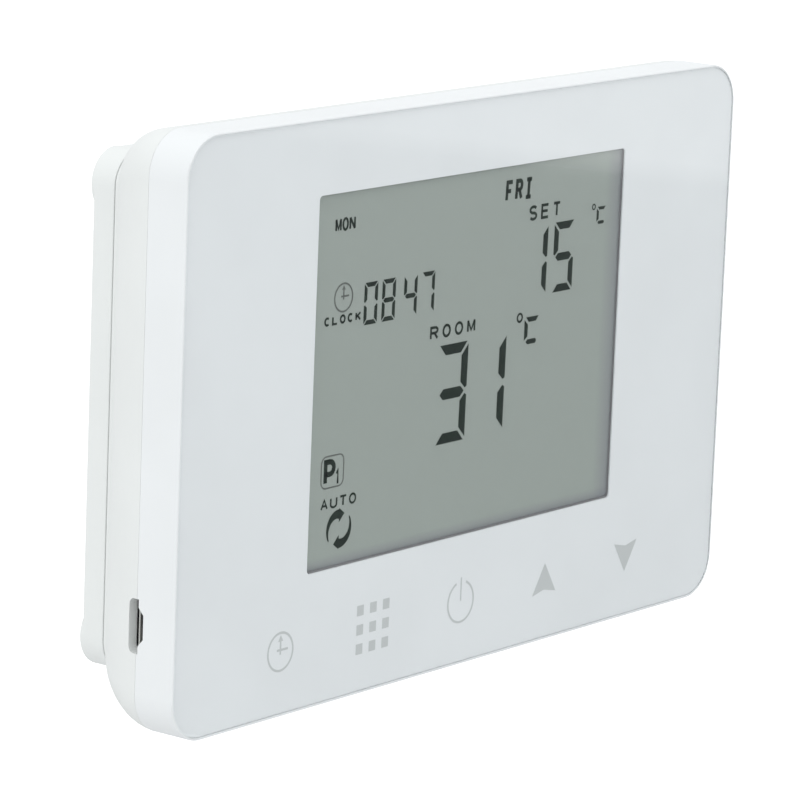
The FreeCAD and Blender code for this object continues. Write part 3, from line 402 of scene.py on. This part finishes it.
def digit(character, left, low, width, height, bar, slant=0.012):
    """A seven-segment digit whose bars are cut to points, so that a gap is left where they meet."""
    right, top, middle = left + width, low + height, low + height / 2

    def level(z, way):
        """The bar along the top or the bottom, narrower on its inner side."""
        near, far = 0.2 * bar, 1.15 * bar
        inner = z - way * bar
        return [(left + near, z), (right - near, z), (right - far, inner), (left + far, inner)]

    def upright(x, inward, upward):
        """A side bar in the upper or the lower half."""
        end = top if upward > 0 else low
        return [(x, end - upward * 0.3 * bar),
                (x + inward * bar, end - upward * 1.3 * bar),
                (x + inward * bar, middle + upward * 0.9 * bar),
                (x + inward * 0.3 * bar, middle + upward * 0.27 * bar),
                (x, middle + upward * 0.43 * bar)]

    tip, flat, half = 0.45 * bar, 1.0 * bar, 0.52 * bar
    bars = {
        "a": level(top, 1),
        "b": upright(right, -1, 1),
        "c": upright(right, -1, -1),
        "d": level(low, -1),
        "e": upright(left, 1, -1),
        "f": upright(left, 1, 1),
        "g": [(left + tip, middle), (left + flat, middle + half), (right - flat, middle + half),
              (right - tip, middle), (right - flat, middle - half), (left + flat, middle - half)],
    }
    return [[(x + slant * (z - low), z) for x, z in bars[name]] for name in SEGMENTS_OF[character]]


def degrees_c(left, low, scale):
    """A degree ring and a C of three bars, as on a segment display, from the C's lower left corner."""
    bars = [
        [(0.4, 4.4), (3.7, 4.4), (3.0, 3.6), (1.1, 3.6)],
        [(0.0, 4.0), (0.9, 3.2), (0.9, 1.3), (0.0, 0.7)],
        [(0.5, 0.4), (0.9, 0.8), (3.0, 0.8), (3.3, 0.4), (3.0, 0.0), (0.9, 0.0)],
    ]
    radius, weight, steps = 0.64 * scale, 0.36 * scale, 24
    degree = ring(left - 1.35 * scale, low + 4.55 * scale, radius, radius, weight, steps)
    return degree + [[(left + x * scale, low + z * scale) for x, z in bar] for bar in bars]


def clock_face(x, z, radius, weight):
    """A round clock whose hands stand at three o'clock, the long one with an arrow head."""
    half, level = weight / 2, z + 0.09 * radius
    return (ring(x, z, radius, radius, weight)
            + strip([(x, z - 0.15 * radius), (x, z + 0.55 * radius)], weight)
            + strip([(x - 0.28 * radius, level), (x - half, level)], weight)
            + strip([(x + half, level), (x + 0.6 * radius, level)], weight)
            + [[(x - 0.2 * radius, z + 0.55 * radius), (x + 0.2 * radius, z + 0.55 * radius),
                (x, z + 0.88 * radius)]])


def turning_arrow(x, z, radius, turn):
    """An arrow that widens as it follows a circle clockwise; turn is its rotation in degrees."""
    steps = 16
    tail, head = math.radians(214), math.radians(91)
    tail_width, head_width = 0.07, 0.50
    outer, inner = [], []
    for step in range(steps + 1):
        share = step / steps
        angle = tail + (head - tail) * share
        within = 1 - tail_width - (head_width - tail_width) * share
        outer.append((math.cos(angle), math.sin(angle)))
        inner.append((within * math.cos(angle), within * math.sin(angle)))
    band = [[outer[step], outer[step + 1], inner[step + 1], inner[step]] for step in range(steps)]
    tip = [(-0.013, 1.05), (0.41, 0.75), (-0.013, 0.33)]
    cosine, sine = radius * math.cos(math.radians(turn)), radius * math.sin(math.radians(turn))
    return [[(x + px * cosine - pz * sine, z + px * sine + pz * cosine) for px, pz in face]
            for face in band + [tip]]


def rounded_box(x, z, width, height, radius):
    """The centre line of a box with round corners."""
    points = []
    reach_x, reach_z = width / 2 - radius, height / 2 - radius
    for quarter, (side_x, side_z) in enumerate(((1, 1), (-1, 1), (-1, -1), (1, -1))):
        start = 90 * quarter
        points += arc(x + side_x * reach_x, z + side_z * reach_z, radius, radius, start, start + 90, 6)
    return points


def square(x, z, side):
    """The outline of an upright square."""
    half = side / 2
    return [(x - half, z - half), (x + half, z - half), (x + half, z + half), (x - half, z + half)]


def arrow_head(x, z, upward):
    """A notched triangle that points up or down, as two halves."""
    half_width, half_height, notch_height = 3.2, 2.53, 1.85
    tip, notch = (x, z + upward * half_height), (x, z - upward * notch_height)
    return [[tip, (x + side * half_width, z - upward * half_height), notch] for side in (-1, 1)]


def flat_piece(name, faces, shift, front, finish):
    """A thin solid of the given outlines, moved by shift over the face, with its front at Y = front."""
    mesh = bmesh.new()
    for outline in faces:
        mesh.faces.new([mesh.verts.new(((x + shift[0]) * MM, front, (z + shift[1]) * MM))
                        for x, z in outline])
    bmesh.ops.remove_doubles(mesh, verts=mesh.verts, dist=1e-7)
    made = bmesh.ops.extrude_face_region(mesh, geom=list(mesh.faces))["geom"]
    rear = [item for item in made if isinstance(item, bmesh.types.BMVert)]
    bmesh.ops.translate(mesh, vec=(0, MARK_THICKNESS * MM, 0), verts=rear)
    bmesh.ops.recalc_face_normals(mesh, faces=mesh.faces)
    data = bpy.data.meshes.new(name)
    mesh.to_mesh(data)
    mesh.free()
    piece = bpy.data.objects.new(name, data)
    bpy.context.scene.collection.objects.link(piece)
    data.materials.append(finish.material)
    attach(piece, "controller")


def display_marks():
    """Everything that the display shows, as dark liquid-crystal segments."""
    dark = moulded("segment_dark", SEGMENT, 0.5, 0.1, 0.0005)
    grey = moulded("segment_grey", shade(DISPLAY, 0.36), 0.5, 0.1, 0.0005)
    time = [face for character, left in zip("0847", (-28.0, -23.6, -18.2, -13.8))
            for face in digit(character, left, 12.75, 3.28, 6.5, 0.7)]
    set_value = digit("1", 13.35, 12.1, 5.35, 11.3, 1.25) + digit("5", 20.4, 12.1, 5.4, 11.3, 1.22)
    room_value = digit("3", -8.95, -8.6, 7.65, 15.7, 1.65) + digit("1", 1.3, -8.6, 7.35, 15.7, 1.72)
    box = strip(rounded_box(-34.2, -8.9, 5.4, 4.9, 1.1), 0.23, closed=True)
    cycle = turning_arrow(-32.15, -18.1, 3.05, 0) + turning_arrow(-32.15, -18.1, 3.05, 180)
    marks = {
        "mark_day_first": (lettering("MON", -35.6, 27.8, 2.1, 1.5, 1.68, 0.4), dark),
        "mark_day_now": (lettering("FRI", 6.9, 28.0, 3.45, 1.95, 2.55, 0.66, 0.06), dark),
        "mark_set": (lettering("SET", 13.5, 24.35, 2.45, 2.1, 3.15, 0.46), dark),
        "mark_set_unit": (degrees_c(31.9, 21.95, 0.64), dark),
        "mark_set_value": (set_value, dark),
        "mark_clock": (clock_face(-33.0, 17.65, 2.15, 0.28), grey),
        "mark_clock_word": (lettering("CLOCK", -37.45, 13.65, 1.42, 1.35, 1.87, 0.34), dark),
        "mark_time": (time, dark),
        "mark_room": (lettering("ROOM", -11.15, 8.3, 2.15, 2.1, 3.16, 0.42), dark),
        "mark_room_unit": (degrees_c(13.5, 4.5, 1.0), dark),
        "mark_room_value": (room_value, dark),
        "mark_programme_box": (box, grey),
        "mark_programme": (lettering("P", -36.3, -10.95, 4.05, 2.85, 1.0, 0.85), dark),
        "mark_programme_number": (lettering("1", -33.4, -11.15, 2.6, 0.75, 1.0, 0.4), dark),
        "mark_auto": (lettering("AUTO", -36.8, -14.7, 1.75, 1.75, 2.3, 0.34), dark),
        "mark_cycle": (cycle, dark),
    }
    front = display_low.y - (MARK_THICKNESS + MARK_CLEARANCE) * MM
    for name, (faces, finish) in marks.items():
        flat_piece(name, faces, DISPLAY_SHIFT, front, finish)


def key_symbols():
    """The five symbols printed in grey behind the panel."""
    ink = moulded("symbol_ink", SYMBOL, 0.5, 0.05, 0.0005)
    menu = [square(-22.8 + column * 3.2, -34.9 + row * 3.05, 1.65)
            for column in (-1, 0, 1) for row in (-1, 0, 1)]
    broken_ring = strip(arc(-0.4, -34.85, 3.3, 3.3, 112, 428, 36), 0.38)
    power = broken_ring + strip([(-0.42, -30.9), (-0.42, -34.7)], 0.34)
    symbols = {
        "symbol_clock": clock_face(-45.2, -34.9, 2.95, 0.36),
        "symbol_menu": menu,
        "symbol_power": power,
        "symbol_up": arrow_head(22.0, -34.83, 1),
        "symbol_down": arrow_head(44.5, -34.86, -1),
    }
    front = print_front - (MARK_THICKNESS + PRINT_BOND + SYMBOL_CLEARANCE) * MM
    for name, faces in symbols.items():
        flat_piece(name, faces, SYMBOL_SHIFT, front, ink)


# ---------------------------------------------------------------- studio
def make_floor():
    """A plain pale floor, which shows to the camera as paper lit from behind."""
    bpy.ops.mesh.primitive_plane_add(size=FLOOR_SIZE * MM, location=(0, 0, cad_low.z - FLOOR_DROP * MM))
    floor = bpy.context.object
    floor.name = "floor"
    finish = Finish("floor_paper", (0.76, 0.76, 0.76), 0.9, Emission_Color=(1, 1, 1, 1))
    finish.emboss(finish.grain(3.0), 0.02)
    path = finish.node("ShaderNodeLightPath")
    glow = finish.spread(path.outputs["Is Camera Ray"], 0.0, 0.5)
    finish.link(glow, finish.shader.inputs["Emission Strength"])
    floor.data.materials.append(finish.material)


def card_cloth():
    """Dark cloth that fades out towards the card's top edge, so that its mirror image ends softly."""
    finish = moulded("card_cloth", (0.10, 0.10, 0.11), 0.9, 0.5, 0.05)
    axes = finish.node("ShaderNodeSeparateXYZ")
    finish.link(finish.place, axes.inputs["Vector"])
    fade = finish.spread(axes.outputs["Z"], 1.0, 0.0, -CARD_FADE * MM, 0.0)
    finish.link(fade, finish.shader.inputs["Alpha"])
    return finish


def make_card():
    """A dark card that leans away in front of the panel and shows only as its mirror image there."""
    ahead = Vector((-math.sin(CAMERA_AZIMUTH), -math.cos(CAMERA_AZIMUTH), 0))
    aside = Vector((-ahead.y, ahead.x, 0))
    foot = ahead * CARD_FOOT[0] * MM + Vector((0, face_y, CARD_FOOT[1] * MM))
    top = ahead * CARD_TOP[0] * MM + Vector((0, face_y, CARD_TOP[1] * MM))
    upward = (top - foot).normalized()
    axes = Matrix((aside, upward.cross(aside), upward)).transposed()
    leaning = Matrix.Rotation(CARD_TILT, 3, axes.col[1]) @ axes
    half, height = CARD_HALF_WIDTH * MM, (top - foot).length
    mesh = bpy.data.meshes.new("card")
    mesh.from_pydata([(-half, 0, -height), (half, 0, -height), (half, 0, 0), (-half, 0, 0)],
                     [], [(0, 1, 2, 3)])
    mesh.materials.append(card_cloth().material)
    card = bpy.data.objects.new("card", mesh)
    card.matrix_world = Matrix.Translation(top) @ leaning.to_4x4()
    bpy.context.scene.collection.objects.link(card)
    card.visible_camera = False
    card.visible_diffuse = False
    card.visible_shadow = False


def direction(azimuth, elevation):
    """The direction towards a place round the part; azimuth 0 is the front, elevation 0 is level."""
    level = math.cos(elevation)
    return Vector((math.sin(azimuth) * level, -math.cos(azimuth) * level, math.sin(elevation)))


def make_lights():
    """A soft overcast studio: light from all round, with more from above and from the left."""
    scene = bpy.context.scene
    world = bpy.data.worlds.new("studio")
    world.use_nodes = True
    sky = world.node_tree.nodes["Background"]
    sky.inputs["Color"].default_value = SKY_COLOUR
    sky.inputs["Strength"].default_value = SKY_STRENGTH
    scene.world = world
    for name, (strength, size, azimuth, elevation) in LAMPS.items():
        lamp = bpy.data.lights.new(name, "SUN")
        lamp.energy = strength
        lamp.angle = math.radians(size)
        source = direction(math.radians(azimuth), math.radians(elevation))
        holder = bpy.data.objects.new(name, lamp)
        holder.rotation_euler = source.to_track_quat("Z", "Y").to_euler()
        scene.collection.objects.link(holder)


def make_camera():
    """The camera, aimed at a point on the face and slightly rolled."""
    scene = bpy.context.scene
    data = bpy.data.cameras.new("camera")
    data.lens = CAMERA_LENS
    data.clip_end = 100
    camera = bpy.data.objects.new("camera", data)
    scene.collection.objects.link(camera)
    back = direction(CAMERA_AZIMUTH, CAMERA_ELEVATION)
    right = Vector((math.cos(CAMERA_AZIMUTH), math.sin(CAMERA_AZIMUTH), 0))
    axes = Matrix((right, back.cross(right), back)).transposed()
    rolled = Matrix.Rotation(CAMERA_ROLL, 3, back) @ axes
    aim = Vector((CAMERA_AIM[0] * MM, face_y, CAMERA_AIM[1] * MM))
    camera.matrix_world = Matrix.Translation(aim + back * CAMERA_DISTANCE * MM) @ rolled.to_4x4()
    scene.camera = camera
    scene.view_settings.view_transform = "Standard"


dress_nodes()
bond_print()
display_marks()
key_symbols()
make_floor()
make_card()
make_lights()
make_camera()
